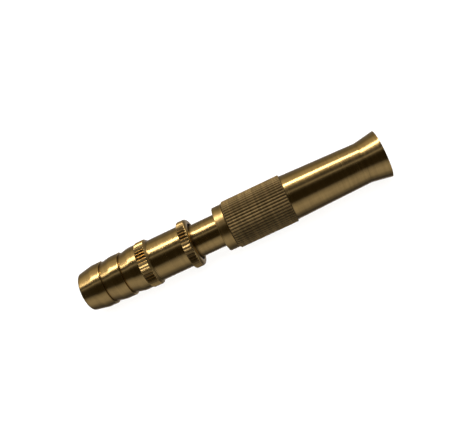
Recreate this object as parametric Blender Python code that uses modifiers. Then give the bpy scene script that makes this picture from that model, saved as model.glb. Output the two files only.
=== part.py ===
"""A brass twist nozzle for a garden hose, with a barbed hose tail.

Metres, +Z up. The nozzle lies on its side along X, its mouth at +X. The origin is on the surface that
it lies on, below the middle of its length. Every piece is turned, so each one is drawn as a profile of
(station, radius) points: a station is the distance along the axis from the tail's end.

The hose tail screws into the coupling body, and the coupling body onto the valve stem. The spray sleeve
runs on the stem's coarse thread, so it moves along the stem as it is twisted: back to shut, forward to
open. The gland nut closes the sleeve behind that thread, and carries the wiper ring.
"""

import math

import bmesh
import bpy
from mathutils import Matrix, Vector

LENGTH = 0.1437
AXIS_HEIGHT = 0.0111
SEGMENTS = 40
GAP = 0.0003

# Hose tail
TAIL_END_RADIUS = 0.0090
TAIL_EDGE = 0.0007
TAIL_BORE = 0.0070
BARB_ROOT = 0.00938
BARB_LANDS = (0.01022, 0.01031, 0.01038)
BARB_LAND_STARTS = (0.0070, 0.0161, 0.0255)
BARB_ENDS = (0.0112, 0.0207, 0.0295)
TAIL_COLLAR_RADIUS = 0.0108
TAIL_COLLAR_FLAT_END = 0.0336
TAIL_COLLAR_END = 0.0352
COLLAR_EDGE = 0.00025
PIPE_THREAD_RADIUS = 0.00833
SPIGOT_END = 0.0414
SPIGOT_BORE = 0.0060

# Coupling body
BODY_RADIUS = 0.0096
BODY_COLLAR_START = 0.0506
BODY_COLLAR_RADIUS = 0.0111
BODY_COLLAR_FLAT_END = 0.0535
BODY_END = 0.0552
BODY_COLLAR_NOSE = 0.0095
WEB_START = 0.0434
WEB_END = 0.0456
WASHER_THICKNESS = 0.0014
WASHER_INNER = 0.0063

# Valve stem
STEM_THREAD_END = 0.0538
NECK_RADIUS = 0.00755
STEM_BORE = 0.0045
DRIVE_THREAD_START = 0.0788
DRIVE_THREAD_END = 0.0870
DRIVE_THREAD_RADIUS = 0.0088
PORT_TUBE_START = 0.1010
PORT_TUBE_RADIUS = 0.0062
STEM_END = 0.1087
PORT_STATION = 0.1029
PORT_RADIUS = 0.0018
PORT_COUNT = 4

# Spray plug, screwed into the end of the stem
SHANK_RADIUS = 0.0038
SHANK_START = 0.1050
PLUG_HEAD_RADIUS = 0.0060
PLUG_LIP_RADIUS = 0.0051
PLUG_NOSE_RADIUS = 0.0025
PLUG_NOSE_START = 0.1232
PLUG_END = 0.1250
PLUG_CHAMFER = 0.0006

# O-rings: section radius, centre radius and station, and the clearance in their grooves
STEM_RING_SECTION = 0.0009
STEM_RING_RADIUS = 0.00672
STEM_RING_STATION = 0.0984
PLUG_RING_SECTION = 0.0010
PLUG_RING_RADIUS = 0.00545
PLUG_RING_STATION = 0.1152
GROOVE_SLACK = 0.0002

# Spray sleeve
SLEEVE_START = 0.0723
GRIP_RADIUS = 0.01101
GRIP_END = 0.1000
GRIP_EDGE = 0.00045
BARREL_RADIUS = 0.01025
WAIST_STATION = 0.1346
WAIST_RADIUS = 0.00912
RIM_RADIUS = 0.01066
RIM_WALL = 0.0007
NUT_BORE = 0.0096
NUT_BORE_END = 0.0776
DRIVE_BORE_END = 0.0950
CHAMBER_RADIUS = 0.0078
SEAT_START = 0.12005
THROAT_START = 0.1310
THROAT_END = 0.1335
THROAT_RADIUS = 0.0032

# Gland nut
NUT_START = 0.0676
NUT_LIP_RADIUS = 0.0103
NUT_LIP_END = 0.0720
NUT_THREAD_RADIUS = 0.0093
NUT_END = 0.0770
NUT_INNER = 0.0085
NUT_GROOVE_START = 0.0688
NUT_GROOVE_END = 0.0710
NUT_GROOVE_RADIUS = 0.0094
WIPER_INNER = 0.00775
WIPER_OUTER = 0.0092

# Knurls: straight V grooves along the axis
COLLAR_TEETH = 44
COLLAR_GROOVE_DEPTH = 0.00045
COLLAR_GROOVE_WIDTH = 0.00075
GRIP_TEETH = 51
GRIP_GROOVE_DEPTH = 0.00030
GRIP_GROOVE_WIDTH = 0.00055

BRASS = ((0.46, 0.34, 0.16), 0.30, 1.0)
BRASS_GRIP = ((0.42, 0.31, 0.15), 0.38, 1.0)
BRASS_INNER = ((0.55, 0.42, 0.20), 0.35, 1.0)
RUBBER = ((0.02, 0.02, 0.02), 0.70, 0.0)


def clear_scene():
    for obj in list(bpy.data.objects):
        bpy.data.objects.remove(obj)


def new_collection(name):
    collection = bpy.data.collections.new(name)
    bpy.context.scene.collection.children.link(collection)
    return collection


def make_material(name, look):
    colour, roughness, metallic = look
    material = bpy.data.materials.new(name)
    material.use_nodes = True
    shader = material.node_tree.nodes["Principled BSDF"]
    shader.inputs["Base Color"].default_value = (*colour, 1.0)
    shader.inputs["Roughness"].default_value = roughness
    shader.inputs["Metallic"].default_value = metallic
    return material


def make_axis(name, collection):
    """An empty at the tail's end, its local Z along the nozzle's axis."""
    axis = bpy.data.objects.new(name, None)
    axis.empty_display_size = 0.02
    axis.location = (-LENGTH / 2, 0.0, AXIS_HEIGHT)
    axis.rotation_euler = (0.0, math.radians(90), 0.0)
    collection.objects.link(axis)
    return axis


def turned(name, outer, inner, axis, look, collection):
    """A ring or tube: the outer and the inner profile, both from tail to mouth, revolved."""
    loop = list(reversed(outer)) + list(inner)
    mesh = bpy.data.meshes.new(name)
    edges = [(i, (i + 1) % len(loop)) for i in range(len(loop))]
    if not inner:
        edges.pop()
    mesh.from_pydata([(radius, 0.0, station) for station, radius in loop], edges, [])
    piece = bpy.data.objects.new(name, mesh)
    piece.parent = axis
    collection.objects.link(piece)
    mesh.materials.append(make_material(name, look))
    screw = piece.modifiers.new("Revolve", "SCREW")
    screw.axis = "Z"
    screw.steps = SEGMENTS
    screw.render_steps = SEGMENTS
    screw.use_merge_vertices = True
    screw.merge_threshold = 0.00001
    return piece


def arc(centre_station, centre_radius, size, start, end, steps=4):
    """Points on a circular arc in the profile plane. Angles are in degrees, 0 towards the mouth."""
    angles = [math.radians(start + (end - start) * i / steps) for i in range(steps + 1)]
    return [(centre_station + size * math.cos(a), centre_radius + size * math.sin(a)) for a in angles]


def cutter_object(name, mesh, axis, collection):
    cutter = bpy.data.objects.new(name, mesh)
    cutter.parent = axis
    cutter.hide_render = True
    cutter.display_type = "WIRE"
    collection.objects.link(cutter)
    return cutter


def cut(piece, cutter):
    boolean = piece.modifiers.new(cutter.name, "BOOLEAN")
    boolean.operation = "DIFFERENCE"
    boolean.solver = "EXACT"
    boolean.object = cutter


def knurl(piece, radius, start, end, teeth, depth, width, axis, cutters):
    """Cuts straight V grooves round a piece, all along a stretch of its outside."""
    above = depth
    side = width / 2 * (depth + above) / depth
    mesh = bpy.data.meshes.new(piece.name + "_knurl")
    form = bmesh.new()
    for tooth in range(teeth):
        turn = Matrix.Rotation(2 * math.pi * (tooth + 0.5) / teeth, 4, "Z")
        foot = (radius - depth, 0.0)
        left = (radius + above, side)
        right = (radius + above, -side)
        corners = [form.verts.new(turn @ Vector((x, y, start))) for x, y in (foot, left, right)]
        face = form.faces.new(corners)
        swept = bmesh.ops.extrude_face_region(form, geom=[face])
        moved = [v for v in swept["geom"] if isinstance(v, bmesh.types.BMVert)]
        bmesh.ops.translate(form, verts=moved, vec=(0.0, 0.0, end - start))
    bmesh.ops.recalc_face_normals(form, faces=form.faces)
    form.to_mesh(mesh)
    form.free()
    cut(piece, cutter_object(mesh.name, mesh, axis, cutters))


def cross_ports(piece, axis, cutters):
    """Drills the ports that let the water out of the stem, evenly round its wall."""
    mesh = bpy.data.meshes.new("stem_ports")
    form = bmesh.new()
    for port in range(PORT_COUNT):
        angle = 2 * math.pi * (port + 0.5) / PORT_COUNT
        reach = (STEM_BORE + PORT_TUBE_RADIUS) / 2
        place = Matrix.Rotation(angle, 4, "Z") @ Matrix.Translation((reach, 0.0, PORT_STATION))
        bmesh.ops.create_cone(
            form,
            cap_ends=True,
            segments=16,
            radius1=PORT_RADIUS,
            radius2=PORT_RADIUS,
            depth=2 * (PORT_TUBE_RADIUS - STEM_BORE) + PORT_RADIUS,
            matrix=place @ Matrix.Rotation(math.radians(90), 4, "Y"),
        )
    form.to_mesh(mesh)
    form.free()
    cut(piece, cutter_object(mesh.name, mesh, axis, cutters))


def barbs():
    """Three barbs: each rises along a taper to a short land, and drops square to the next."""
    points = []
    root_start = None
    for land, land_start, end in zip(BARB_LANDS, BARB_LAND_STARTS, BARB_ENDS):
        if root_start is not None:
            points.append((root_start, BARB_ROOT))
        points += [(land_start, land), (end, land)]
        root_start = end
    return points


def hose_tail(axis, parts, cutters):
    rounded_end = arc(TAIL_EDGE, TAIL_END_RADIUS - TAIL_EDGE, TAIL_EDGE, 180, 100)
    outer = rounded_end + barbs() + [
        (BARB_ENDS[-1], TAIL_COLLAR_RADIUS - COLLAR_EDGE),
        (BARB_ENDS[-1] + COLLAR_EDGE, TAIL_COLLAR_RADIUS),
        (TAIL_COLLAR_FLAT_END, TAIL_COLLAR_RADIUS),
        (TAIL_COLLAR_END, BODY_RADIUS),
        (TAIL_COLLAR_END, PIPE_THREAD_RADIUS),
        (SPIGOT_END, PIPE_THREAD_RADIUS),
    ]
    inner = [
        (0.0, TAIL_BORE),
        (BARB_ENDS[-1], TAIL_BORE),
        (BARB_ENDS[-1] + TAIL_BORE - SPIGOT_BORE, SPIGOT_BORE),
        (SPIGOT_END, SPIGOT_BORE),
    ]
    piece = turned("hose_tail", outer, inner, axis, BRASS, parts)
    knurl(
        piece,
        TAIL_COLLAR_RADIUS,
        BARB_ENDS[-1] - GAP,
        TAIL_COLLAR_FLAT_END + GAP,
        COLLAR_TEETH,
        COLLAR_GROOVE_DEPTH,
        COLLAR_GROOVE_WIDTH,
        axis,
        cutters,
    )
    return piece


def flat_washer(name, start, axis, parts):
    end = start + WASHER_THICKNESS
    outer_radius = PIPE_THREAD_RADIUS
    outer = [(start, outer_radius), (end, outer_radius)]
    inner = [(start, WASHER_INNER), (end, WASHER_INNER)]
    return turned(name, outer, inner, axis, RUBBER, parts)


def coupling_body(axis, parts, cutters):
    nose_length = BODY_END - BODY_COLLAR_FLAT_END
    nose_height = BODY_COLLAR_RADIUS - BODY_COLLAR_NOSE
    nose = [
        (BODY_COLLAR_FLAT_END + nose_length * math.sin(a), BODY_COLLAR_NOSE + nose_height * math.cos(a))
        for a in (math.radians(15 * i) for i in range(7))
    ]
    outer = [
        (TAIL_COLLAR_END + GAP, BODY_RADIUS),
        (BODY_COLLAR_START, BODY_RADIUS),
        (BODY_COLLAR_START, BODY_COLLAR_RADIUS - COLLAR_EDGE),
        (BODY_COLLAR_START + COLLAR_EDGE, BODY_COLLAR_RADIUS),
    ] + nose
    thread = PIPE_THREAD_RADIUS + GAP
    inner = [
        (TAIL_COLLAR_END + GAP, thread),
        (WEB_START, thread),
        (WEB_START, SPIGOT_BORE),
        (WEB_END, SPIGOT_BORE),
        (WEB_END, thread),
        (BODY_END, thread),
    ]
    piece = turned("coupling_body", outer, inner, axis, BRASS, parts)
    knurl(
        piece,
        BODY_COLLAR_RADIUS,
        BODY_COLLAR_START - GAP,
        BODY_COLLAR_FLAT_END + GAP,
        COLLAR_TEETH,
        COLLAR_GROOVE_DEPTH,
        COLLAR_GROOVE_WIDTH,
        axis,
        cutters,
    )
    return piece


def groove(station, section, centre_radius, rear_wall, front_wall):
    """The outline of a square O-ring groove between two walls, given by their radii."""
    half = section + GAP
    floor = centre_radius - section - GROOVE_SLACK
    return [
        (station - half, rear_wall),
        (station - half, floor),
        (station + half, floor),
        (station + half, front_wall),
    ]


def valve_stem(axis, parts, cutters):
    start = WEB_END + WASHER_THICKNESS + 2 * GAP
    outer = [
        (start, PIPE_THREAD_RADIUS),
        (STEM_THREAD_END, PIPE_THREAD_RADIUS),
        (STEM_THREAD_END, NECK_RADIUS),
        (DRIVE_THREAD_START, NECK_RADIUS),
        (DRIVE_THREAD_START, DRIVE_THREAD_RADIUS),
        (DRIVE_THREAD_END, DRIVE_THREAD_RADIUS),
        (DRIVE_THREAD_END, NECK_RADIUS),
        *groove(STEM_RING_STATION, STEM_RING_SECTION, STEM_RING_RADIUS, NECK_RADIUS, NECK_RADIUS),
        (PORT_TUBE_START, NECK_RADIUS),
        (PORT_TUBE_START, PORT_TUBE_RADIUS),
        (STEM_END, PORT_TUBE_RADIUS),
    ]
    inner = [
        (start, STEM_BORE),
        (SHANK_START, STEM_BORE),
        (SHANK_START, SHANK_RADIUS + GAP),
        (STEM_END, SHANK_RADIUS + GAP),
    ]
    piece = turned("valve_stem", outer, inner, axis, BRASS, parts)
    cross_ports(piece, axis, cutters)
    return piece


def spray_plug(axis, parts):
    head_start = STEM_END + GAP
    outer = [
        (SHANK_START, 0.0),
        (SHANK_START, SHANK_RADIUS),
        (head_start, SHANK_RADIUS),
        (head_start, PLUG_HEAD_RADIUS),
        *groove(PLUG_RING_STATION, PLUG_RING_SECTION, PLUG_RING_RADIUS, PLUG_HEAD_RADIUS, PLUG_LIP_RADIUS),
        (PLUG_NOSE_START, PLUG_NOSE_RADIUS),
        (PLUG_END - PLUG_CHAMFER, PLUG_NOSE_RADIUS),
        (PLUG_END, PLUG_NOSE_RADIUS - PLUG_CHAMFER),
        (PLUG_END, 0.0),
    ]
    return turned("spray_plug", outer, [], axis, BRASS_INNER, parts)


def o_ring(name, station, centre_radius, section, axis, parts):
    """A rubber ring of round section."""
    round_section = arc(station, centre_radius, section, 180, -180, steps=8)[:-1]
    return turned(name, round_section[:5], list(reversed(round_section[5:])), axis, RUBBER, parts)


def gland_nut(axis, parts):
    outer = [
        (NUT_START, NUT_LIP_RADIUS - COLLAR_EDGE),
        (NUT_START + COLLAR_EDGE, NUT_LIP_RADIUS),
        (NUT_LIP_END, NUT_LIP_RADIUS),
        (NUT_LIP_END, NUT_THREAD_RADIUS),
        (NUT_END, NUT_THREAD_RADIUS),
    ]
    inner = [
        (NUT_START, NUT_INNER),
        (NUT_GROOVE_START, NUT_INNER),
        (NUT_GROOVE_START, NUT_GROOVE_RADIUS),
        (NUT_GROOVE_END, NUT_GROOVE_RADIUS),
        (NUT_GROOVE_END, NUT_INNER),
        (NUT_END, NUT_INNER),
    ]
    return turned("gland_nut", outer, inner, axis, BRASS, parts)


def wiper_ring(axis, parts):
    start = NUT_GROOVE_START + GAP
    end = NUT_GROOVE_END - GAP
    outer = [(start, WIPER_OUTER), (end, WIPER_OUTER)]
    inner = [(start, WIPER_INNER), (end, WIPER_INNER)]
    return turned("wiper_ring", outer, inner, axis, RUBBER, parts)


def bell(start, start_radius, end, end_radius, power, steps):
    """A mouth that opens faster and faster towards its end."""
    fractions = [i / steps for i in range(1, steps + 1)]
    return [
        (start + (end - start) * f, start_radius + (end_radius - start_radius) * f**power) for f in fractions
    ]


def spray_sleeve(axis, parts, cutters):
    outer = [
        (SLEEVE_START, GRIP_RADIUS - GRIP_EDGE),
        (SLEEVE_START + GRIP_EDGE, GRIP_RADIUS),
        (GRIP_END - GRIP_EDGE, GRIP_RADIUS),
        (GRIP_END, GRIP_RADIUS - GRIP_EDGE),
        (GRIP_END, BARREL_RADIUS),
        (WAIST_STATION, WAIST_RADIUS),
    ] + bell(WAIST_STATION, WAIST_RADIUS, LENGTH, RIM_RADIUS, 1.15, 5)
    inner = [
        (SLEEVE_START, NUT_BORE),
        (NUT_BORE_END, NUT_BORE),
        (NUT_BORE_END, DRIVE_THREAD_RADIUS + GAP),
        (DRIVE_BORE_END, DRIVE_THREAD_RADIUS + GAP),
        (DRIVE_BORE_END, CHAMBER_RADIUS),
        (SEAT_START, CHAMBER_RADIUS),
        (THROAT_START, THROAT_RADIUS),
        (THROAT_END, THROAT_RADIUS),
    ] + bell(THROAT_END, THROAT_RADIUS, LENGTH, RIM_RADIUS - RIM_WALL, 1.15, 5)
    piece = turned("spray_sleeve", outer, inner, axis, BRASS_GRIP, parts)
    knurl(
        piece,
        GRIP_RADIUS,
        SLEEVE_START - GAP,
        GRIP_END + GAP,
        GRIP_TEETH,
        GRIP_GROOVE_DEPTH,
        GRIP_GROOVE_WIDTH,
        axis,
        cutters,
    )
    return piece


def finish(piece):
    """Fixes the modifiers' result in the mesh, and shades it smooth between its sharp edges."""
    graph = bpy.context.evaluated_depsgraph_get()
    mesh = bpy.data.meshes.new_from_object(piece.evaluated_get(graph))
    piece.modifiers.clear()
    piece.data = mesh
    mesh.shade_smooth()
    mesh.set_sharp_from_angle(angle=math.radians(28))


def main():
    clear_scene()
    parts = new_collection("hose_spray_nozzle")
    cutters = new_collection("cutters")
    fixed_axis = make_axis("fixed_axis", parts)
    sleeve_axis = make_axis("sleeve_axis", parts)
    tail_washer_start = SPIGOT_END + GAP
    pieces = [
        hose_tail(fixed_axis, parts, cutters),
        flat_washer("tail_washer", tail_washer_start, fixed_axis, parts),
        coupling_body(fixed_axis, parts, cutters),
        flat_washer("stem_washer", WEB_END + GAP, fixed_axis, parts),
        valve_stem(fixed_axis, parts, cutters),
        o_ring("stem_oring", STEM_RING_STATION, STEM_RING_RADIUS, STEM_RING_SECTION, fixed_axis, parts),
        spray_plug(fixed_axis, parts),
        o_ring("plug_oring", PLUG_RING_STATION, PLUG_RING_RADIUS, PLUG_RING_SECTION, fixed_axis, parts),
        gland_nut(sleeve_axis, parts),
        wiper_ring(sleeve_axis, parts),
        spray_sleeve(sleeve_axis, parts, cutters),
    ]
    for piece in pieces:
        finish(piece)


main()
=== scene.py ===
import math

import bpy
import numpy as np
from mathutils import Matrix, Quaternion, Vector


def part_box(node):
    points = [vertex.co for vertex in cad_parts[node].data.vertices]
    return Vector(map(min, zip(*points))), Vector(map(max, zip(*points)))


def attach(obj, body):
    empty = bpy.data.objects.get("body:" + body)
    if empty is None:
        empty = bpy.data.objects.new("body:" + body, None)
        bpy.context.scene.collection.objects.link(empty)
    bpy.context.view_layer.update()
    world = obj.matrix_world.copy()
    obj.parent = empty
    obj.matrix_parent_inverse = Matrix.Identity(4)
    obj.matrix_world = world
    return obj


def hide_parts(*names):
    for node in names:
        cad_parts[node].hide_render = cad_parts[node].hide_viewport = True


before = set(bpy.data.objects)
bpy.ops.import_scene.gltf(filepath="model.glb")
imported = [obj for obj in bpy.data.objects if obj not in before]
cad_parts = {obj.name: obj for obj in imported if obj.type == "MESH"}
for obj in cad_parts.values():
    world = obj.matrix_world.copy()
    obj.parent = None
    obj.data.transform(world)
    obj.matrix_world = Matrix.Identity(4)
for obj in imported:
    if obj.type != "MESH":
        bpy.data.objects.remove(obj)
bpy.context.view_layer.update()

# A brass twist nozzle, seen on a pale floor. Every piece is turned, so each one is drawn as an outline of
# (station, radius, edge) corners in millimetres: the station is the distance from the tail's end along the
# axis, and the edge is the radius that rounds the corner. Outlines run clockwise, outside first. Knurls and
# threads are cut into the turned surface by limiting its radius over station and angle. A group of numbers
# such as WEB or THROAT gives its stations first and its radius, if it has one, last.

MM = 0.001
TAIL_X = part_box("hose_tail")[0].x
AXIS_Z = (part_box("coupling_body")[0].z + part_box("coupling_body")[1].z) / 2


def reach(node):
    """A node's first station, last station and largest radius, in millimetres."""
    low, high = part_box(node)
    return (low.x - TAIL_X) / MM, (high.x - TAIL_X) / MM, (high.z - AXIS_Z) / MM


# ---------------------------------------------------------------- turning

# How an outline is rounded and sampled. Lengths are in millimetres.
ROUND_STEPS = 3
STRAIGHT = math.radians(179)
FULL_BEND = math.radians(60)
BACK_SHARE = 0.48
SAME_PLACE = 1e-6
SUPPORT = 0.22
LONGEST_STEP = 2.2
THREAD_STEPS = 12
ROUNDING = 0.001
NO_LIMIT = 1e9
APART = 0.02
SMOOTH_ANGLE = math.radians(38)

# The distance within which points on the axis are joined, in metres.
WELD_DISTANCE = 0.000002

# The edge radii that most corners have.
FINE = 0.05
BROKEN = 0.10
SOFT = 0.15

# A thread's crest and slope, as shares of half its pitch, and the gap between the two threads.
CREST_SHARE = 0.18
SLOPE_SHARE = 0.64
CLEARANCE = 0.26

# The power at which dirt and painted shade gather towards a tooth's root, and the dirt and painted shade in a
# thread's root and a threaded bore.
GROOVE_POWER = 3.0
ROOT_DIRT_AND_SHADE = 0.6
BORE_DIRT_AND_SHADE = 0.5

DRILL_SIDES = 48
DRILL_TURN = Quaternion((0.0, 0.0, 1.0), math.radians(2.3))


def rounded_corner(corner, before, after):
    """One corner between its neighbours, as (station, radius, bend) points along its rounding."""
    station, radius, edge = corner
    here = Vector((station, radius))
    before = Vector(before[:2]) - here
    after = Vector(after[:2]) - here
    shortest = min(before.length, after.length)
    if edge <= 0 or shortest < SAME_PLACE or radius <= 0:
        return [(station, radius, 0.0)]
    before.normalize()
    after.normalize()
    opening = before.angle(after)
    if opening > STRAIGHT:
        return [(station, radius, 0.0)]
    back = min(edge / math.tan(opening / 2), shortest * BACK_SHARE)
    size = back * math.tan(opening / 2)
    centre = here + (before + after).normalized() * (size / math.sin(opening / 2))
    first = here + before * back - centre
    last = here + after * back - centre
    sweep = first.angle_signed(last)
    sharpness = min(1.0, (math.pi - opening) / FULL_BEND)
    turns_right = before.x * after.y - before.y * after.x > 0
    bend = sharpness if turns_right else -sharpness
    points = []
    for step in range(ROUND_STEPS + 1):
        arm = Matrix.Rotation(-sweep * step / ROUND_STEPS, 2) @ first
        points.append((centre.x + arm.x, centre.y + arm.y, bend))
    return points


def rounded(corners):
    """Rounds each corner by its edge radius. Gives (station, radius, bend): bend is 1 on an outer edge,
    -1 on an inner corner and 0 elsewhere."""
    points = []
    for i, corner in enumerate(corners):
        points += rounded_corner(corner, corners[i - 1], corners[(i + 1) % len(corners)])
    return points


def step_length(a, b, zones):
    """The step to take along a straight run, which is shorter in a thread. A zone is a thread's first and
    last station, its pitch, and its lowest and highest radius."""
    step = LONGEST_STEP
    middle = (a[0] + b[0]) / 2
    for start, end, pitch, low, high in zones:
        within = low <= min(a[1], b[1]) + ROUNDING and max(a[1], b[1]) <= high + ROUNDING
        if start <= middle <= end and within:
            step = pitch / THREAD_STEPS
    return step


def subdivided(points, zones, closed=True):
    """Adds points along the straight runs: close beside each edge, evenly between, finely in a thread."""
    result = []
    count = len(points)
    for i, a in enumerate(points):
        result.append(a)
        if i == count - 1 and not closed:
            break
        b = points[(i + 1) % count]
        run = math.hypot(b[0] - a[0], b[1] - a[1])
        if run < 3 * SUPPORT:
            continue
        inner = max(1, round((run - 2 * SUPPORT) / step_length(a, b, zones)))
        for k in range(inner + 1):
            share = (SUPPORT + (run - 2 * SUPPORT) * k / inner) / run
            result.append((a[0] + (b[0] - a[0]) * share, a[1] + (b[1] - a[1]) * share, 0.0))
    return result


def lowered(r, limit):
    """Brings a surface down to a limit. What stood above it keeps a trace of its height, so that no two
    points fall together."""
    return np.where(r > limit, limit + APART * (r - limit), r)


def raised(r, limit):
    """Brings a surface up to a limit, in the same way."""
    return np.where(r < limit, limit - APART * (limit - r), r)


def knurl(start, end, radius, teeth, depth, power):
    """Straight teeth: V-shaped at power 1, with rounder crowns at a higher one."""

    def cut(station, r, turn):
        share = np.abs((turn * teeth / (2 * math.pi)) % 1 * 2 - 1)
        loss = depth * share**power
        zone = (station >= start) & (station <= end)
        limit = np.where(zone, radius - loss, NO_LIMIT)
        # Dirt and painted shade darken each groove towards its root.
        return lowered(r, limit), np.where(zone & (r > radius - depth), share**GROOVE_POWER, 0.0)

    return cut


def painted_shade_below(start, end, radius, amount):
    """Leaves the shape alone, and paints shade on what lies below a radius, as in a recess."""

    def cut(station, r, turn):
        zone = (station >= start) & (station <= end) & (r <= radius)
        return r, np.where(zone, amount, 0.0)

    return cut


def thread_loss(station, turn, depth, pitch):
    """How far a right-hand thread's surface lies below its crest."""
    share = np.abs((turn / (2 * math.pi) - station / pitch) % 1 * 2 - 1)
    slope = np.clip((share - CREST_SHARE) / SLOPE_SHARE, 0, 1)
    return depth * slope * slope * (3 - 2 * slope)


def male_thread(start, end, crest, depth, pitch):
    """A thread on the outside, which cuts below its crest."""

    def cut(station, r, turn):
        loss = thread_loss(station, turn, depth, pitch)
        zone = (station >= start) & (station <= end)
        limit = np.where(zone, crest - loss, NO_LIMIT)
        # The thread's root is darkened with dirt and painted shade.
        return lowered(r, limit), np.where(zone & (r > crest - depth), ROOT_DIRT_AND_SHADE * loss / depth, 0.0)

    return cut


def female_thread(start, end, crest, depth, pitch):
    """Takes the male thread's sizes, and leaves CLEARANCE all along it."""

    def cut(station, r, turn):
        loss = thread_loss(station, turn, depth, pitch)
        zone = (station >= start) & (station <= end)
        limit = np.where(zone, crest - loss + CLEARANCE, -NO_LIMIT)
        bore = r < crest + CLEARANCE
        # The threaded bore is darkened with dirt and painted shade.
        return np.where(bore, raised(r, limit), r), np.where(zone & bore, BORE_DIRT_AND_SHADE, 0.0)

    return cut


def cut_surface(points, segments, cuts):
    """Where each point of the turned surface lies after the cuts, with its wear and its mask of dirt and
    painted shade.
    """
    station = np.array([p[0] for p in points])[:, None]
    bend = np.array([p[2] for p in points])[:, None]
    turn = (np.arange(segments) * 2 * math.pi / segments)[None, :]
    radius = np.repeat(np.array([p[1] for p in points])[:, None], segments, axis=1)
    # Inner corners start with dirt and painted shade.
    grime_and_shade = np.repeat(np.clip(-bend, 0, 1), segments, axis=1)
    for cut in cuts:
        radius, dirt_and_shade = cut(station, radius, turn)
        grime_and_shade = np.maximum(grime_and_shade, dirt_and_shade)
    wear = np.repeat(np.clip(bend, 0, 1), segments, axis=1) * (1 - grime_and_shade)
    x = TAIL_X + np.repeat(station, segments, axis=1) * MM
    place = np.stack([x, radius * np.sin(turn) * MM, AXIS_Z + radius * np.cos(turn) * MM], axis=-1)
    return place, wear, grime_and_shade


def quads(count, segments, closed):
    """The faces between each row of points and the next, turned outwards."""
    rows = np.arange(count if closed else count - 1)[:, None]
    first = rows * segments
    after = (rows + 1) % count * segments
    here = np.arange(segments)[None, :]
    beside = (here + 1) % segments
    return np.stack([first + here, after + here, after + beside, first + beside], axis=-1)


def turned(name, corners, segments, cuts=(), zones=(), closed=True):
    """The piece that an outline makes, turned about the axis. Its wear attribute and its attribute of dirt
    and
    painted shade drive its material: wear on outer edges, dirt and painted shade in corners, grooves and
    recesses."""
    points = subdivided(rounded(corners), zones, closed)
    place, wear, grime_and_shade = cut_surface(points, segments, cuts)
    faces = quads(len(points), segments, closed)
    mesh = bpy.data.meshes.new(name)
    mesh.from_pydata(place.reshape(-1, 3).tolist(), [], faces.reshape(-1, 4).tolist())
    for label, values in (("wear", wear), ("grime_and_shade", grime_and_shade)):
        attribute = mesh.attributes.new(label, "FLOAT", "POINT")
        attribute.data.foreach_set("value", values.astype(np.float32).ravel())
    piece = bpy.data.objects.new(name, mesh)
    bpy.context.scene.collection.objects.link(piece)
    return piece


def weld_centre(piece):
    """Closes the ends of a piece whose outline starts and ends on the axis."""
    weld = piece.modifiers.new("Weld", "WELD")
    weld.merge_threshold = WELD_DISTANCE


def drilled(piece, radial_angles, station, depth_radii, radius):
    """Drills round ports through the wall. The drill is turned a little about its own axis, so that none of
    its corners lies on an edge of the piece."""
    inner, outer = depth_radii
    centre = Vector((TAIL_X + station * MM, 0.0, AXIS_Z))
    for angle in radial_angles:
        direction = Vector((0.0, math.sin(angle), math.cos(angle)))
        bpy.ops.mesh.primitive_cylinder_add(
            vertices=DRILL_SIDES, radius=radius * MM, depth=(outer - inner) * 2 * MM, end_fill_type="NGON"
        )
        drill = bpy.context.object
        drill.location = centre + direction * ((inner + outer) / 2 * MM)
        drill.rotation_mode = "QUATERNION"
        drill.rotation_quaternion = direction.to_track_quat("Z", "Y") @ DRILL_TURN
        boolean = piece.modifiers.new("Port", "BOOLEAN")
        boolean.object = drill
        boolean.solver = "EXACT"
        bpy.context.view_layer.update()
        graph = bpy.context.evaluated_depsgraph_get()
        mesh = bpy.data.meshes.new_from_object(piece.evaluated_get(graph))
        piece.modifiers.clear()
        piece.data = mesh
        bpy.data.objects.remove(drill)


def settle(piece, node, body, material, knurled=None):
    """Shades a piece, gives it its material and puts it in the place of its CAD node. knurled is the
    stretch and the least radius of the faces that have the knurl's own material."""
    mesh = piece.data
    mesh.shade_smooth()
    mesh.set_sharp_from_angle(angle=SMOOTH_ANGLE)
    mesh.materials.clear()
    mesh.materials.append(material)
    if knurled:
        start, end, least_radius, knurl_material = knurled
        mesh.materials.append(knurl_material)
        for face in mesh.polygons:
            station = (face.center.x - TAIL_X) / MM
            radius = math.hypot(face.center.y, face.center.z - AXIS_Z) / MM
            if start <= station <= end and radius >= least_radius:
                face.material_index = 1
    normals = piece.modifiers.new("Normals", "WEIGHTED_NORMAL")
    normals.keep_sharp = True
    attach(piece, body)
    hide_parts(node)


# ---------------------------------------------------------------- materials

# A near-black colour for dirt and painted shade in grooves, inner corners and recesses.
DIRT_AND_SHADE_COLOUR = (0.050, 0.035, 0.016)
DIRT_AND_SHADE_COVER = 0.90
DIRT_ROUGHER = 0.3
POLISH_GAIN = 1.25
POLISH_SMOOTHER = 0.08
FILM_ROUGHER = 0.05
FILM_SMOOTHER = 0.03
BAND_ROUGHNESS = 0.03
STREAK_GAIN = 0.7

# The depths of the lathe's coarse and fine marks and of the pits, in metres.
COARSE_MARK = 0.00002
FINE_MARK = 0.000006
PIT_DEPTH = 0.00001


def add(tree, kind, links=None, **settings):
    """A node. settings are its properties; links gives its inputs, as sockets or as values."""
    node = tree.nodes.new(kind)
    for key, value in settings.items():
        setattr(node, key, value)
    for key, value in (links or {}).items():
        if isinstance(value, bpy.types.NodeSocket):
            tree.links.new(value, node.inputs[key])
        else:
            node.inputs[key].default_value = value
    return node


def blend_colour(tree, factor, a, b, mode="MIX"):
    """Two colours mixed, or multiplied where the mode says so. Each input is a socket or a value."""
    node = add(tree, "ShaderNodeMix", data_type="RGBA", blend_type=mode)
    for index, value in ((0, factor), (6, a), (7, b)):
        if isinstance(value, bpy.types.NodeSocket):
            tree.links.new(value, node.inputs[index])
        else:
            node.inputs[index].default_value = value
    return node.outputs[2]


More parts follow.
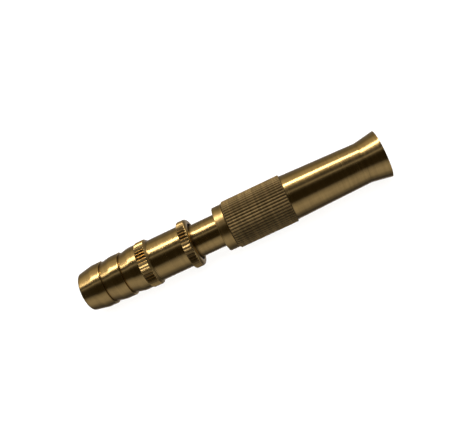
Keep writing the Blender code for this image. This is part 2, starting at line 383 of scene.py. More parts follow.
def maths(tree, operation, *values, clamp=False):
    """The result of one operation on sockets or numbers."""
    links = dict(enumerate(values))
    return add(tree, "ShaderNodeMath", links, operation=operation, use_clamp=clamp).outputs[0]


def noise(tree, coordinates, scale, detail=3.0, rough=0.55):
    """Noise over the object, with its own scale along and across the axis, in cells per metre."""
    mapping = add(tree, "ShaderNodeMapping", {"Vector": coordinates, "Scale": scale})
    links = {"Vector": mapping.outputs[0], "Scale": 1.0, "Detail": detail, "Roughness": rough}
    return add(tree, "ShaderNodeTexNoise", links).outputs[0]


def spread(tree, value, low, high, from_low=0.3, from_high=0.7):
    """Maps a value onto low to high. By default it expects noise, which seldom leaves 0.3 to 0.7."""
    links = {"Value": value, "From Min": from_low, "From Max": from_high, "To Min": low, "To Max": high}
    return add(tree, "ShaderNodeMapRange", links).outputs[0]


def new_material(name):
    """A new material, its tree and its shader."""
    material = bpy.data.materials.new(name)
    material.use_nodes = True
    tree = material.node_tree
    return material, tree, tree.nodes["Principled BSDF"]


def bumped(tree, *layers):
    """The normal after bumps laid one over another, each given as (height, distance, strength)."""
    normal = None
    for height, distance, strength in layers:
        links = {"Height": height, "Distance": distance, "Strength": strength}
        if normal is not None:
            links["Normal"] = normal
        normal = add(tree, "ShaderNodeBump", links).outputs[0]
    return normal


def brass_tone(tree, clean, dull, film, streak, dirt_and_shade, polish):
    """A patchy film, streaks round the piece, dirt and painted shade in the grooves, corners and recesses,
    and bright edges.
    """
    tone = blend_colour(tree, spread(tree, film, 0.0, 1.0), (*dull, 1), (*clean, 1))
    grey = add(tree, "ShaderNodeCombineColor", {"Red": streak, "Green": streak, "Blue": streak})
    tone = blend_colour(tree, 1.0, tone, grey.outputs[0], "MULTIPLY")
    tone = blend_colour(tree, dirt_and_shade, tone, (*DIRT_AND_SHADE_COLOUR, 1))
    bright = tuple(min(1.0, part * POLISH_GAIN) for part in clean)
    return blend_colour(tree, polish, tone, (*bright, 1))


def brass_roughness(tree, roughness, film, bands, dirt_and_shade, polish):
    """Smoother where the brass is clean and where its edges are polished, rougher in the dirt and painted
    shade.
    """
    patchy = spread(tree, film, roughness + FILM_ROUGHER, roughness - FILM_SMOOTHER)
    rough = maths(tree, "ADD", patchy, spread(tree, bands, -BAND_ROUGHNESS, BAND_ROUGHNESS))
    rough = maths(tree, "MULTIPLY_ADD", dirt_and_shade, DIRT_ROUGHER, rough)
    return maths(tree, "MULTIPLY_ADD", polish, -POLISH_SMOOTHER, rough, clamp=True)


def brass(name, clean, dull, roughness, marks, anisotropy, pitting=0.2, streaks=0.12, metallic=1.0):
    """Turned brass: fine marks round the piece, a patchy film, dirt and painted shade in the grooves, polish
    on the edges.
    """
    material, tree, shader = new_material(name)
    place = add(tree, "ShaderNodeTexCoord").outputs["Object"]
    wear = add(tree, "ShaderNodeAttribute", attribute_name="wear").outputs["Fac"]
    grime_and_shade = add(tree, "ShaderNodeAttribute", attribute_name="grime_and_shade").outputs["Fac"]
    film = noise(tree, place, (90, 130, 130), 5.0, 0.6)
    bands = noise(tree, place, (900, 25, 25), 3.0, 0.7)
    fine = noise(tree, place, (7000, 90, 90), 2.0, 0.6)
    specks = noise(tree, place, (1500, 1500, 1500), 4.0, 0.7)

    streak = spread(tree, bands, 1.0 - streaks, 1.0 + STREAK_GAIN * streaks)
    # The mask of dirt and painted shade, which nearly covers the brass with the dark colour.
    dirt_and_shade = maths(tree, "MULTIPLY", grime_and_shade, spread(tree, specks, 0.80, 1.0), clamp=True)
    dirt_and_shade = maths(tree, "MULTIPLY", dirt_and_shade, DIRT_AND_SHADE_COVER)
    polish = maths(tree, "MULTIPLY", wear, spread(tree, film, 0.25, 0.6), clamp=True)
    tone = brass_tone(tree, clean, dull, film, streak, dirt_and_shade, polish)
    rough = brass_roughness(tree, roughness, film, bands, dirt_and_shade, polish)
    normal = bumped(
        tree,
        (bands, COARSE_MARK * marks, 0.4),
        (fine, FINE_MARK * marks, 0.5),
        (specks, PIT_DEPTH, pitting),
    )
    tangent = add(tree, "ShaderNodeTangent", direction_type="RADIAL", axis="X").outputs[0]
    tree.links.new(tone, shader.inputs["Base Color"])
    tree.links.new(rough, shader.inputs["Roughness"])
    tree.links.new(normal, shader.inputs["Normal"])
    tree.links.new(tangent, shader.inputs["Tangent"])
    shader.inputs["Metallic"].default_value = metallic
    shader.inputs["Anisotropic"].default_value = anisotropy
    shader.inputs["Anisotropic Rotation"].default_value = 0.25
    return material


BLOOM_DARK = (0.012, 0.012, 0.013, 1)
BLOOM_PALE = (0.030, 0.029, 0.027, 1)


def rubber(name):
    """Black nitrile rubber: a faint mould grain and a dusty bloom."""
    material, tree, shader = new_material(name)
    place = add(tree, "ShaderNodeTexCoord").outputs["Object"]
    bloom = noise(tree, place, (400, 400, 400), 5.0, 0.6)
    grain = noise(tree, place, (6000, 6000, 6000), 2.0, 0.5)
    tone = blend_colour(tree, spread(tree, bloom, 0.0, 1.0), BLOOM_DARK, BLOOM_PALE)
    tree.links.new(tone, shader.inputs["Base Color"])
    tree.links.new(spread(tree, bloom, 0.5, 0.72), shader.inputs["Roughness"])
    tree.links.new(bumped(tree, (grain, COARSE_MARK, 0.4)), shader.inputs["Normal"])
    return material


BRASS_CLEAN = (0.66, 0.455, 0.170)
BRASS_DULL = (0.56, 0.385, 0.150)
# The knurled ring's nose and the grip are darker copies of the same brass: painted shade.
NOSE_SHADED_CLEAN = (0.44, 0.300, 0.118)
NOSE_SHADED_DULL = (0.38, 0.260, 0.103)
GRIP_SHADED_CLEAN = (0.40, 0.283, 0.120)
GRIP_SHADED_DULL = (0.31, 0.218, 0.093)
INNER_CLEAN = (0.70, 0.50, 0.20)
INNER_DULL = (0.62, 0.44, 0.18)
brass_turned = brass(
    "brass_turned", BRASS_CLEAN, BRASS_DULL, roughness=0.22, marks=1.0, anisotropy=0.85, streaks=0.13
)
brass_nut = brass(
    "brass_nut", BRASS_CLEAN, BRASS_DULL, roughness=0.33, marks=1.2, anisotropy=0.6, streaks=0.16
)
brass_ring = brass(
    "brass_ring_knurl", BRASS_CLEAN, BRASS_DULL, roughness=0.20, marks=1.0, anisotropy=0.3
)
brass_nose_shaded = brass(
    "brass_nose_knurl_shaded", NOSE_SHADED_CLEAN, NOSE_SHADED_DULL, roughness=0.28, marks=1.0, anisotropy=0.3
)
brass_grip_shaded = brass(
    "brass_grip_knurl_shaded",
    GRIP_SHADED_CLEAN,
    GRIP_SHADED_DULL,
    roughness=0.60,
    marks=7.0,
    anisotropy=0.0,
    pitting=0.6,
    streaks=0.42,
    metallic=0.93,
)
brass_inner = brass(
    "brass_inner", INNER_CLEAN, INNER_DULL, roughness=0.30, marks=1.4, anisotropy=0.70
)
black_rubber = rubber("black_rubber")

# ---------------------------------------------------------------- hose tail

RING_TEETH = 44
RING_SEGMENTS = RING_TEETH * 8
RING_DEPTH = 0.50
RING_CROWN = 1.0
PIPE_CREST = 8.33
PIPE_DEPTH = 0.78
PIPE_PITCH = 1.337
PIPE_ROOT = PIPE_CREST - PIPE_DEPTH
RELIEF_SLACK = 0.04
PIPE_RELIEF = PIPE_CREST + CLEARANCE + RELIEF_SLACK
WATER_BORE = 6.0
TAIL_BORE = 7.0
BARB_ROOT = 9.38
COLLAR_START = 29.5
COLLAR_FLAT_LEFT = 1.67
COLLAR_BEVEL_LEFT = 0.55
KNURL_RUN_OUT = 0.12
RING_CHAMFER = 0.25
UNDERCUT = 1.3
SEAM = 0.08
BODY_RADIUS = 9.6
BARB_BEND = 5.0
BARBS = ((7.0, 11.2, 10.22), (16.1, 20.7, 10.31), (25.5, COLLAR_START, 10.38))

_, tail_end, collar_radius = reach("hose_tail")
body_start, body_end, nose_radius = reach("coupling_body")
collar_end = body_start - SEAM
collar_flat_end = collar_end - COLLAR_FLAT_LEFT
bevel_end = collar_end - COLLAR_BEVEL_LEFT
knurl_end = collar_flat_end + KNURL_RUN_OUT
tail_thread_start = collar_end + UNDERCUT


def barb_corners():
    """The barbs, each rising to a land and stepping down to the root behind it."""
    corners = []
    for i, (land_start, land_end, land) in enumerate(BARBS):
        corners.append((land_start, land, BARB_BEND))
        if i < len(BARBS) - 1:
            corners += [(land_end, land, BROKEN), (land_end, BARB_ROOT, 0.12)]
    return corners


hose_tail = turned(
    "hose_tail_turned",
    [(0.0, TAIL_BORE + 0.35, FINE), (0.0, 8.92, 0.75)]
    + barb_corners()
    + [
        (COLLAR_START, BARBS[-1][2], 0.06),
        (COLLAR_START, collar_radius - RING_CHAMFER, FINE),
        (COLLAR_START + RING_CHAMFER, collar_radius, BROKEN),
        (collar_flat_end, collar_radius, 0.12),
        (bevel_end, BODY_RADIUS, FINE),
        (collar_end, BODY_RADIUS, 0.03),
        (collar_end, PIPE_ROOT - 0.05, BROKEN),
        (tail_thread_start, PIPE_ROOT - 0.05, BROKEN),
        (collar_end + 1.6, PIPE_CREST, FINE),
        (tail_end - 0.6, PIPE_CREST, FINE),
        (tail_end, PIPE_ROOT, BROKEN),
        (tail_end, WATER_BORE, BROKEN),
        (COLLAR_START + 1.0, WATER_BORE, 0.30),
        (COLLAR_START, TAIL_BORE, 0.30),
        (0.35, TAIL_BORE, FINE),
    ],
    RING_SEGMENTS,
    cuts=[
        knurl(COLLAR_START - 0.1, knurl_end, collar_radius, RING_TEETH, RING_DEPTH, RING_CROWN),
        male_thread(tail_thread_start, tail_end, PIPE_CREST, PIPE_DEPTH, PIPE_PITCH),
    ],
    zones=[(tail_thread_start, tail_end, PIPE_PITCH, PIPE_ROOT, PIPE_CREST)],
)
settle(
    hose_tail,
    "hose_tail",
    "hose_end",
    brass_turned,
    knurled=(COLLAR_START, collar_flat_end + 0.05, BARBS[-1][2] - 0.1, brass_ring),
)

# ---------------------------------------------------------------- coupling body

NOSE_END_RADIUS = 9.5
WEB = (43.4, 45.6)
RECESS = 8.63
RING2_START = 50.6
RING2_FLAT_END = 53.5
RING2_KNURL_END = 54.2
NOSE_STEPS = 12
WEB_RELIEF = 0.8


def nose_corners():
    """The ring's front as a quarter of an ellipse."""
    length = body_end - RING2_FLAT_END
    height = nose_radius - NOSE_END_RADIUS
    angles = [math.radians(90 * i / NOSE_STEPS) for i in range(NOSE_STEPS + 1)]
    return [
        (RING2_FLAT_END + length * math.sin(a), NOSE_END_RADIUS + height * math.cos(a), 0.0) for a in angles
    ]


female_crest = PIPE_ROOT + CLEARANCE
coupling_body = turned(
    "coupling_body_turned",
    [
        (body_start, BODY_RADIUS, 0.03),
        (RING2_START, BODY_RADIUS, BROKEN),
        (RING2_START, nose_radius - RING_CHAMFER, FINE),
        (RING2_START + RING_CHAMFER, nose_radius, BROKEN),
    ]
    + nose_corners()
    + [
        (body_end, RECESS + 0.25, 0.06),
        (body_end - 0.25, RECESS, FINE),
        (RING2_FLAT_END + 0.1, RECESS, FINE),
        (RING2_FLAT_END - 0.3, female_crest, FINE),
        (WEB[1] + 1.1, female_crest, FINE),
        (WEB[1] + WEB_RELIEF, PIPE_RELIEF, FINE),
        (WEB[1], PIPE_RELIEF, BROKEN),
        (WEB[1], WATER_BORE, BROKEN),
        (WEB[0], WATER_BORE, BROKEN),
        (WEB[0], PIPE_RELIEF, BROKEN),
        (WEB[0] - WEB_RELIEF, PIPE_RELIEF, FINE),
        (WEB[0] - 1.1, female_crest, FINE),
        (body_start + 0.8, female_crest, FINE),
        (body_start, RECESS, FINE),
    ],
    RING_SEGMENTS,
    cuts=[
        knurl(RING2_START - 0.1, RING2_KNURL_END, nose_radius, RING_TEETH, RING_DEPTH, RING_CROWN),
        # Painted shade darkens the recess between the ring and the stem.
        painted_shade_below(RING2_FLAT_END - 0.5, body_end - 0.1, RECESS + 0.2, 1.0),
        female_thread(body_start, WEB[0] - WEB_RELIEF, PIPE_CREST, PIPE_DEPTH, PIPE_PITCH),
        female_thread(WEB[1] + WEB_RELIEF, RING2_FLAT_END, PIPE_CREST, PIPE_DEPTH, PIPE_PITCH),
    ],
    zones=[(body_start, body_end, PIPE_PITCH, female_crest - 0.1, female_crest + 0.1)],
)
settle(
    coupling_body,
    "coupling_body",
    "hose_end",
    brass_turned,
    knurled=(RING2_START, RING2_KNURL_END, nose_radius - 0.6, brass_nose_shaded),
)

# ---------------------------------------------------------------- valve stem

NECK = 7.55
STEM_BORE = 4.5
DRIVE = (78.8, 87.0)
DRIVE_CREST = 8.8
DRIVE_DEPTH = 1.0
DRIVE_PITCH = 3.0
STEM_THREAD_END = 53.8
PORT_TUBE = (101.0, 6.2)
PORT_STATION = 102.9
PORT_RADIUS = 1.73
PORTS = 4
PORT_SHIFT = 0.4
SHANK = 3.8
SHANK_DEPTH = 0.35
SHANK_PITCH = 0.75
STEM_SEGMENTS = 256

stem_start, stem_end, _ = reach("valve_stem")
plug_start, plug_end, plug_radius = reach("spray_plug")


def ring_groove(node, clearance=0.3, slack=0.2):
    """An O-ring's groove: its two stations and its floor's radius."""
    start, end, outer = reach(node)
    section = (end - start) / 2
    return start - clearance, end + clearance, outer - 2 * section - slack


stem_groove = ring_groove("stem_oring")
valve_stem = turned(
    "valve_stem_turned",
    [
        (stem_start, PIPE_ROOT, BROKEN),
        (stem_start + 0.6, PIPE_CREST, FINE),
        (STEM_THREAD_END - 0.2, PIPE_CREST, FINE),
        (STEM_THREAD_END, PIPE_CREST - 0.2, FINE),
        (STEM_THREAD_END, NECK, SOFT),
        (DRIVE[0], NECK, 0.20),
        (DRIVE[0], DRIVE_CREST - 0.5, FINE),
        (DRIVE[0] + 0.5, DRIVE_CREST, FINE),
        (DRIVE[1] - 0.6, DRIVE_CREST, FINE),
        (DRIVE[1], DRIVE_CREST - 0.9, FINE),
        (DRIVE[1], NECK, 0.20),
        (stem_groove[0], NECK, 0.08),
        (stem_groove[0], stem_groove[2], SOFT),
        (stem_groove[1], stem_groove[2], SOFT),
        (stem_groove[1], NECK, 0.08),
        (PORT_TUBE[0], NECK, 0.20),
        (PORT_TUBE[0], PORT_TUBE[1], SOFT),
        (stem_end, PORT_TUBE[1], SOFT),
        (stem_end, SHANK + 0.5, FINE),
        (stem_end - 0.4, SHANK - SHANK_DEPTH + 0.3, FINE),
        (plug_start + 0.6, SHANK - SHANK_DEPTH + 0.3, FINE),
        (plug_start + 0.3, SHANK + 0.3, FINE),
        (plug_start, SHANK + 0.3, FINE),
        (plug_start, STEM_BORE, FINE),
        (stem_start, STEM_BORE, SOFT),
    ],
    STEM_SEGMENTS,
    cuts=[
        male_thread(stem_start, STEM_THREAD_END, PIPE_CREST, PIPE_DEPTH, PIPE_PITCH),
        # Painted shade darkens the stem inside the coupling body and just beyond its recess.
        painted_shade_below(stem_start, body_end + 0.3, PIPE_CREST, 1.0),
        male_thread(DRIVE[0], DRIVE[1], DRIVE_CREST, DRIVE_DEPTH, DRIVE_PITCH),
        female_thread(plug_start + 0.3, stem_end, SHANK, SHANK_DEPTH, SHANK_PITCH),
    ],
    zones=[
        (stem_start, STEM_THREAD_END, PIPE_PITCH, PIPE_ROOT, PIPE_CREST),
        (DRIVE[0], DRIVE[1], DRIVE_PITCH, NECK + 0.1, DRIVE_CREST),
        (plug_start, stem_end, SHANK_PITCH, SHANK - 0.3, SHANK + 0.3),
    ],
)

# The ports stand off the even quarters by a share of a segment, so that none is centred on an edge.
drilled(
    valve_stem,
    [2 * math.pi * ((i + 0.5) / PORTS + PORT_SHIFT / STEM_SEGMENTS) for i in range(PORTS)],
    PORT_STATION,
    (STEM_BORE, PORT_TUBE[1]),
    PORT_RADIUS,
)
settle(valve_stem, "valve_stem", "hose_end", brass_turned)

# ---------------------------------------------------------------- spray plug

PLUG_LIP = 5.1
PLUG_NOSE = 2.5
PLUG_NOSE_START = 123.2
PLUG_UNDERCUT = 0.6
head_start = stem_end + 0.3
plug_thread_end = head_start - PLUG_UNDERCUT
plug_groove = ring_groove("plug_oring")
spray_plug = turned(
    "spray_plug_turned",
    [
        (plug_start, 0.0, 0),
        (plug_start, SHANK - SHANK_DEPTH, BROKEN),
        (plug_start + 0.4, SHANK, FINE),
        (head_start - 0.8, SHANK, FINE),
        (plug_thread_end, SHANK - SHANK_DEPTH, FINE),
        (head_start, SHANK - SHANK_DEPTH, BROKEN),
        (head_start, plug_radius, 0.20),
        (plug_groove[0], plug_radius, 0.08),
        (plug_groove[0], plug_groove[2], SOFT),
        (plug_groove[1], plug_groove[2], SOFT),
        (plug_groove[1], PLUG_LIP, 0.08),
        (PLUG_NOSE_START, PLUG_NOSE, 0.60),
        (plug_end - 0.6, PLUG_NOSE, SOFT),
        (plug_end, PLUG_NOSE - 0.6, SOFT),
        (plug_end, 0.0, 0),
    ],
    STEM_SEGMENTS // 2,
    cuts=[male_thread(plug_start, plug_thread_end, SHANK, SHANK_DEPTH, SHANK_PITCH)],
    zones=[(plug_start, head_start, SHANK_PITCH, SHANK - SHANK_DEPTH, SHANK)],
    closed=False,
)
weld_centre(spray_plug)
settle(spray_plug, "spray_plug", "hose_end", brass_inner)

# ---------------------------------------------------------------- gland nut and sleeve

GRIP_TEETH = 51
GRIP_SEGMENTS = GRIP_TEETH * 6
GRIP_DEPTH = 0.46
GRIP_CROWN = 1.6
GRIP_END = 100.0
GRIP_EDGE = 0.45
NUT_INNER = 8.5
NUT_LIP_END = 72.0
NUT_THREAD = 9.3
NUT_THREAD_DEPTH = 0.4
NUT_THREAD_PITCH = 1.0
NUT_UNDERCUT = 1.0
BORE_UNDERCUT = 0.7
DRIVE_UNDERCUT = 1.5
WIPER_GROOVE = (68.8, 71.0, 9.4)
NUT_BORE_END = 77.6
DRIVE_END = 95.0
DRIVE_BORE = DRIVE_CREST + 0.3
CHAMBER = 7.8
SEAT_START = 120.05
THROAT = (131.0, 133.5, 3.2)
BARREL = 10.25
WAIST = (134.6, 9.12)
RIM = 10.66
RIM_WALL = 0.7
BELL_POWER = 1.10
BELL_STEPS = 12

nut_start, nut_end, nut_radius = reach("gland_nut")
sleeve_start, sleeve_end, grip_radius = reach("spray_sleeve")
nut_thread_start = NUT_LIP_END + NUT_UNDERCUT
nut_bore_thread_end = NUT_BORE_END - BORE_UNDERCUT
drive_thread_end = DRIVE_END - DRIVE_UNDERCUT
gland_nut = turned(
    "gland_nut_turned",
    [
        (nut_start, nut_radius - 0.25, FINE),
        (nut_start + 0.25, nut_radius, 0.08),
        (NUT_LIP_END, nut_radius, 0.12),
        (NUT_LIP_END, NUT_THREAD - NUT_THREAD_DEPTH, BROKEN),
        (nut_thread_start, NUT_THREAD - NUT_THREAD_DEPTH, FINE),
        (NUT_LIP_END + 1.2, NUT_THREAD, FINE),
        (nut_end - 0.4, NUT_THREAD, FINE),
        (nut_end, NUT_THREAD - NUT_THREAD_DEPTH, FINE),
        (nut_end, NUT_INNER, FINE),
        (WIPER_GROOVE[1], NUT_INNER, FINE),
        (WIPER_GROOVE[1], WIPER_GROOVE[2], BROKEN),
        (WIPER_GROOVE[0], WIPER_GROOVE[2], BROKEN),
        (WIPER_GROOVE[0], NUT_INNER, FINE),
        (nut_start + 0.2, NUT_INNER, FINE),
        (nut_start, NUT_INNER + 0.2, FINE),
    ],
    STEM_SEGMENTS,
    cuts=[male_thread(nut_thread_start, nut_end, NUT_THREAD, NUT_THREAD_DEPTH, NUT_THREAD_PITCH)],
    zones=[(nut_thread_start, nut_end, NUT_THREAD_PITCH, NUT_INNER + 0.1, NUT_THREAD)],
)
settle(gland_nut, "gland_nut", "sleeve", brass_nut)


def bell(start, start_radius, end_radius):
    """The corners of a flare from a station to the sleeve's end, without its two ends."""
    shares = [i / BELL_STEPS for i in range(1, BELL_STEPS)]
    return [
        (
            start + (sleeve_end - start) * s,
            start_radius + (end_radius - start_radius) * s**BELL_POWER,
            0.0,
        )
        for s in shares
    ]


nut_female_crest = NUT_THREAD - NUT_THREAD_DEPTH + CLEARANCE
drive_female_crest = DRIVE_CREST - DRIVE_DEPTH + CLEARANCE
spray_sleeve = turned(
    "spray_sleeve_turned",
    [
        (sleeve_start, grip_radius - GRIP_EDGE, 0.08),
        (sleeve_start + GRIP_EDGE, grip_radius, SOFT),
        (GRIP_END - GRIP_EDGE, grip_radius, SOFT),
        (GRIP_END, grip_radius - GRIP_EDGE, 0.08),
        (GRIP_END, BARREL, 0.12),
        (*WAIST, 1.2),
    ]
    + bell(*WAIST, RIM)
    + [(sleeve_end, RIM, BROKEN), (sleeve_end, RIM - RIM_WALL, SOFT)]
    + bell(THROAT[1], THROAT[2], RIM - RIM_WALL)[::-1]
    + [
        (THROAT[1], THROAT[2], 0.30),
        (THROAT[0], THROAT[2], 0.40),
        (SEAT_START, CHAMBER, 0.30),
        (DRIVE_END, CHAMBER, 0.20),
        (DRIVE_END, DRIVE_BORE, SOFT),
        (drive_thread_end, DRIVE_BORE, FINE),
        (DRIVE_END - 2.0, drive_female_crest, FINE),
        (NUT_BORE_END + 0.9, drive_female_crest, FINE),
        (NUT_BORE_END, DRIVE_BORE, FINE),
        (NUT_BORE_END, NUT_THREAD + 0.3, BROKEN),
        (nut_bore_thread_end, NUT_THREAD + 0.3, FINE),
        (NUT_BORE_END - 0.9, nut_female_crest, FINE),
        (sleeve_start + 0.5, nut_female_crest, FINE),
        (sleeve_start, NUT_THREAD + 0.35, FINE),
    ],
    GRIP_SEGMENTS,
    cuts=[
        knurl(sleeve_start - 0.1, GRIP_END - 0.01, grip_radius, GRIP_TEETH, GRIP_DEPTH, GRIP_CROWN),
        female_thread(NUT_BORE_END, drive_thread_end, DRIVE_CREST, DRIVE_DEPTH, DRIVE_PITCH),
        female_thread(sleeve_start, nut_bore_thread_end, NUT_THREAD, NUT_THREAD_DEPTH, NUT_THREAD_PITCH),
    ],
    zones=[
        (NUT_BORE_END, drive_thread_end, DRIVE_PITCH, 0.0, drive_female_crest + 0.1),
        (sleeve_start, NUT_BORE_END, NUT_THREAD_PITCH, 0.0, nut_female_crest + 0.1),
    ],
)
settle(
    spray_sleeve,
    "spray_sleeve",
    "sleeve",
    brass_turned,
    knurled=(sleeve_start, GRIP_END, grip_radius - GRIP_EDGE - 0.1, brass_grip_shaded),
)

# ---------------------------------------------------------------- seals

RING_POINTS = 28
FLASH = 0.04


def o_ring(node, body):
    """A moulded ring: a round section with a faint flash line at its outer and inner middle."""
    start, end, outer = reach(node)
    section = (end - start) / 2
    middle = (start + end) / 2
    corners = []
    for i in range(RING_POINTS):
        angle = math.pi - 2 * math.pi * i / RING_POINTS
        flash = FLASH if i in (RING_POINTS // 4, 3 * RING_POINTS // 4) else 0.0
        size = section - FLASH + flash
        corners.append((middle + size * math.cos(angle), outer - section + size * math.sin(angle), 0.0))
    ring = turned(node + "_moulded", corners, STEM_SEGMENTS)
    settle(ring, node, body, black_rubber)


def washer(node, body, inner):
    """A flat washer with soft edges, its faces slightly dished."""
    start, end, outer = reach(node)
    middle = (inner + outer) / 2
    corners = [
        (start, inner, SOFT),
        (start + 0.05, middle, 0.0),
        (start, outer, 0.25),
        (end, outer, 0.25),
        (end - 0.05, middle, 0.0),
        (end, inner, SOFT),
    ]
    piece = turned(node + "_moulded", corners, STEM_SEGMENTS // 2)
    settle(piece, node, body, black_rubber)


def wiper(node, body, inner):
    """A wiper with two lips towards the neck and a hollow between them."""
    start, end, outer = reach(node)
    middle = (start + end) / 2
    corners = [
        (start, inner + 0.25, 0.08),
        (start, outer, 0.20),
        (end, outer, 0.20),
        (end, inner + 0.25, 0.08),
        (end - 0.35, inner, 0.08),
        (middle, inner + 0.4, SOFT),
        (start + 0.35, inner, 0.08),
    ]
    piece = turned(node + "_moulded", corners, STEM_SEGMENTS // 2)
    settle(piece, node, body, black_rubber)


o_ring("stem_oring", "hose_end")
o_ring("plug_oring", "hose_end")
washer("tail_washer", "hose_end", 6.3)
washer("stem_washer", "hose_end", 6.3)
wiper("wiper_ring", "seal_carriage", 7.75)

# ---------------------------------------------------------------- floor, light and camera

FLOOR_SIZE = 30.0

# The view: its station is in millimetres, and its distance and its offset beside the axis are in metres.
VIEW_ELEVATION = math.radians(38)
VIEW_TILT = math.radians(7.5)
VIEW_ROLL = math.radians(25.25)
VIEW_DISTANCE = 0.2708
VIEW_STATION = 70.61
VIEW_SIDE = 0.00264
LENS = 49.3

# The strip lights, the floor, the backdrop and the studio's two ends. Lengths are in metres.
STRIP_TURN = math.radians(20)
STRIP_DISTANCE = 0.60
STRIP_WIDTH = 0.10
STRIP_COLOUR = (1.0, 0.95, 0.96)
FLOOR_PALE = ((0.86, 0.86, 0.855, 1), (0.88, 0.88, 0.875, 1))
BACKDROP = (0.93, 0.93, 0.925, 1)
ENDS = (0.09, 0.09, 0.09, 1)
ENDS_FADE = (0.72, 0.98)

# The studio round the nozzle's axis: elevation in degrees seen from the front, brightness and tint.
# 0 is the front, 90 straight up, 180 the back and -90 straight down.
TABLE_LIGHT = (1.0, 0.97, 1.02)
ROOM_LIGHT = (1.0, 0.90, 0.74)
DARK_LIGHT = (1.0, 0.78, 0.42)
PANORAMA = (
    (-90, 0.04, TABLE_LIGHT),
    (-70, 0.14, TABLE_LIGHT),
    (-45, 0.34, TABLE_LIGHT),
    (-25, 0.38, TABLE_LIGHT),
    (-8, 0.28, TABLE_LIGHT),
    (3, 0.14, TABLE_LIGHT),
    (9, 0.024, DARK_LIGHT),
    (46, 0.021, DARK_LIGHT),
    (56, 0.06, ROOM_LIGHT),
    (63, 0.32, TABLE_LIGHT),
    (69, 0.09, TABLE_LIGHT),
    (76, 0.04, TABLE_LIGHT),
    (88, 0.10, ROOM_LIGHT),
    (94, 0.35, ROOM_LIGHT),
    (112, 0.55, ROOM_LIGHT),
    (133, 0.42, ROOM_LIGHT),
    (150, 0.19, ROOM_LIGHT),
    (180, 0.17, TABLE_LIGHT),
    (200, 0.36, TABLE_LIGHT),
    (232, 0.28, TABLE_LIGHT),
    (270, 0.04, TABLE_LIGHT),
)


def make_floor():
    """A pale matt floor with a faint grain, which the brass doesn't reflect."""
    bpy.ops.mesh.primitive_plane_add(size=FLOOR_SIZE, location=(0, 0, 0))
    floor = bpy.context.object
    floor.name = "floor"
    material, tree, shader = new_material("pale_floor")
    place = add(tree, "ShaderNodeTexCoord").outputs["Object"]
    grain = noise(tree, place, (60, 60, 60), 3.0)
    tone = blend_colour(tree, spread(tree, grain, 0, 1), *FLOOR_PALE)
    tree.links.new(tone, shader.inputs["Base Color"])
    shader.inputs["Roughness"].default_value = 0.9
    shader.inputs["Specular IOR Level"].default_value = 0.1
    floor.data.materials.append(material)
    floor.visible_glossy = False


def studio_light(tree, direction):
    """The panorama's light by the angle round the nozzle's axis, fading to grey at its two ends."""
    parts = add(tree, "ShaderNodeSeparateXYZ", {0: direction}).outputs
    front = maths(tree, "MULTIPLY", parts[1], -1.0)
    turn = maths(tree, "DIVIDE", maths(tree, "ARCTAN2", parts[2], front), 2 * math.pi)
    turn = maths(tree, "FRACT", maths(tree, "ADD", turn, 0.25))
    ramp = add(tree, "ShaderNodeValToRGB", {0: turn})
    stops = ramp.color_ramp.elements
    ramp.color_ramp.interpolation = "EASE"
    for index, (degrees, brightness, tint) in enumerate(PANORAMA):
        position = (degrees + 90) / 360
        stop = stops[index] if index < 2 else stops.new(position)
        stop.position = position
        stop.color = (*(brightness * part for part in tint), 1)
    ends = spread(tree, maths(tree, "ABSOLUTE", parts[0]), 0.0, 1.0, *ENDS_FADE)
    return blend_colour(tree, ends, ramp.outputs[0], ENDS)


def make_world():
    """The studio: pale to the camera, and light and dark panels round the nozzle to everything else."""
    world = bpy.data.worlds.new("studio")
    bpy.context.scene.world = world
    world.use_nodes = True
    tree = world.node_tree
    tree.nodes.clear()
    direction = add(tree, "ShaderNodeTexCoord").outputs["Generated"]
    light = studio_light(tree, direction)
    studio = add(tree, "ShaderNodeBackground", {"Color": light, "Strength": 1.0})
    backdrop = add(tree, "ShaderNodeBackground", {"Color": BACKDROP, "Strength": 1.0})
    seen = add(tree, "ShaderNodeLightPath").outputs["Is Camera Ray"]
    mixed = add(tree, "ShaderNodeMixShader", {0: seen, 1: studio.outputs[0], 2: backdrop.outputs[0]})
    output = add(tree, "ShaderNodeOutputWorld")
    tree.links.new(mixed.outputs[0], output.inputs[0])


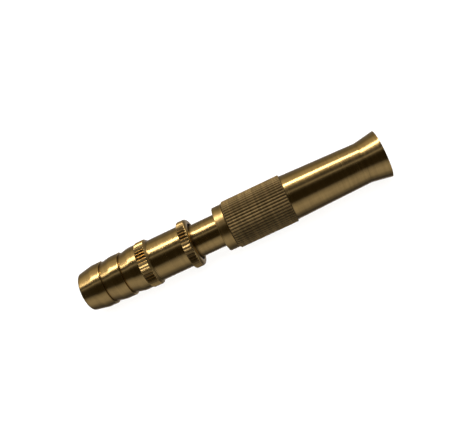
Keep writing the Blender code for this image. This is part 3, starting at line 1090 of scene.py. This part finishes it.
def softbox(name, elevation, station, turn, length, energy):
    """A strip light over the nozzle, turned by an angle from its axis. It shows only in reflections."""
    data = bpy.data.lights.new(name, "AREA")
    data.shape = "RECTANGLE"
    data.size = length
    data.size_y = STRIP_WIDTH
    data.energy = energy
    data.color = STRIP_COLOUR
    light = bpy.data.objects.new(name, data)
    bpy.context.scene.collection.objects.link(light)
    angle = math.radians(elevation)
    arm = Vector((0.0, -math.cos(angle), math.sin(angle)))
    light.location = Vector((station, 0.0, AXIS_Z)) + arm * STRIP_DISTANCE
    along = Matrix.Rotation(turn, 3, arm) @ Vector((1.0, 0.0, 0.0))
    light.matrix_world = Matrix.Translation(light.location) @ Matrix(
        (along, arm.cross(along), arm)
    ).transposed().to_4x4()
    light.visible_camera = False
    light.visible_diffuse = False


def floor_light(name, energy, softness, shadow):
    """A soft sun that lights matt surfaces and doesn't show in reflections."""
    data = bpy.data.lights.new(name, "SUN")
    data.energy = energy
    data.angle = math.radians(softness)
    data.use_shadow = shadow
    light = bpy.data.objects.new(name, data)
    bpy.context.scene.collection.objects.link(light)
    light.visible_glossy = False


def make_lights():
    """Two strips that the brass reflects, and two suns for the floor."""
    softbox("key_strip", 101, -0.05, STRIP_TURN, 0.85, 1.9)
    softbox("tail_strip", 88, -0.64, 0.0, 0.42, 0.20)
    floor_light("floor_fill", 3.75, 50, shadow=False)
    floor_light("floor_shadow", 0.25, 110, shadow=True)


def make_camera():
    """A camera above the nozzle's front, rolled so that the nozzle climbs to the right."""
    data = bpy.data.cameras.new("camera")
    data.lens = LENS
    data.sensor_width = 36.0
    data.clip_start = 0.01
    data.clip_end = 100.0
    camera = bpy.data.objects.new("camera", data)
    bpy.context.scene.collection.objects.link(camera)
    towards = Vector(
        (
            math.sin(VIEW_TILT),
            -math.cos(VIEW_TILT) * math.cos(VIEW_ELEVATION),
            math.cos(VIEW_TILT) * math.sin(VIEW_ELEVATION),
        )
    )
    along = Vector((1.0, 0.0, 0.0))
    along = (along - towards * along.dot(towards)).normalized()
    across = towards.cross(along)
    right = math.cos(VIEW_ROLL) * along - math.sin(VIEW_ROLL) * across
    up = math.sin(VIEW_ROLL) * along + math.cos(VIEW_ROLL) * across
    aim = Vector((TAIL_X + VIEW_STATION * MM, 0.0, AXIS_Z)) + across * VIEW_SIDE
    pose = Matrix((right, up, towards)).transposed().to_4x4()
    camera.matrix_world = Matrix.Translation(aim + towards * VIEW_DISTANCE) @ pose
    bpy.context.scene.camera = camera


make_floor()
make_world()
make_lights()
make_camera()
bpy.context.scene.view_settings.view_transform = "Standard"
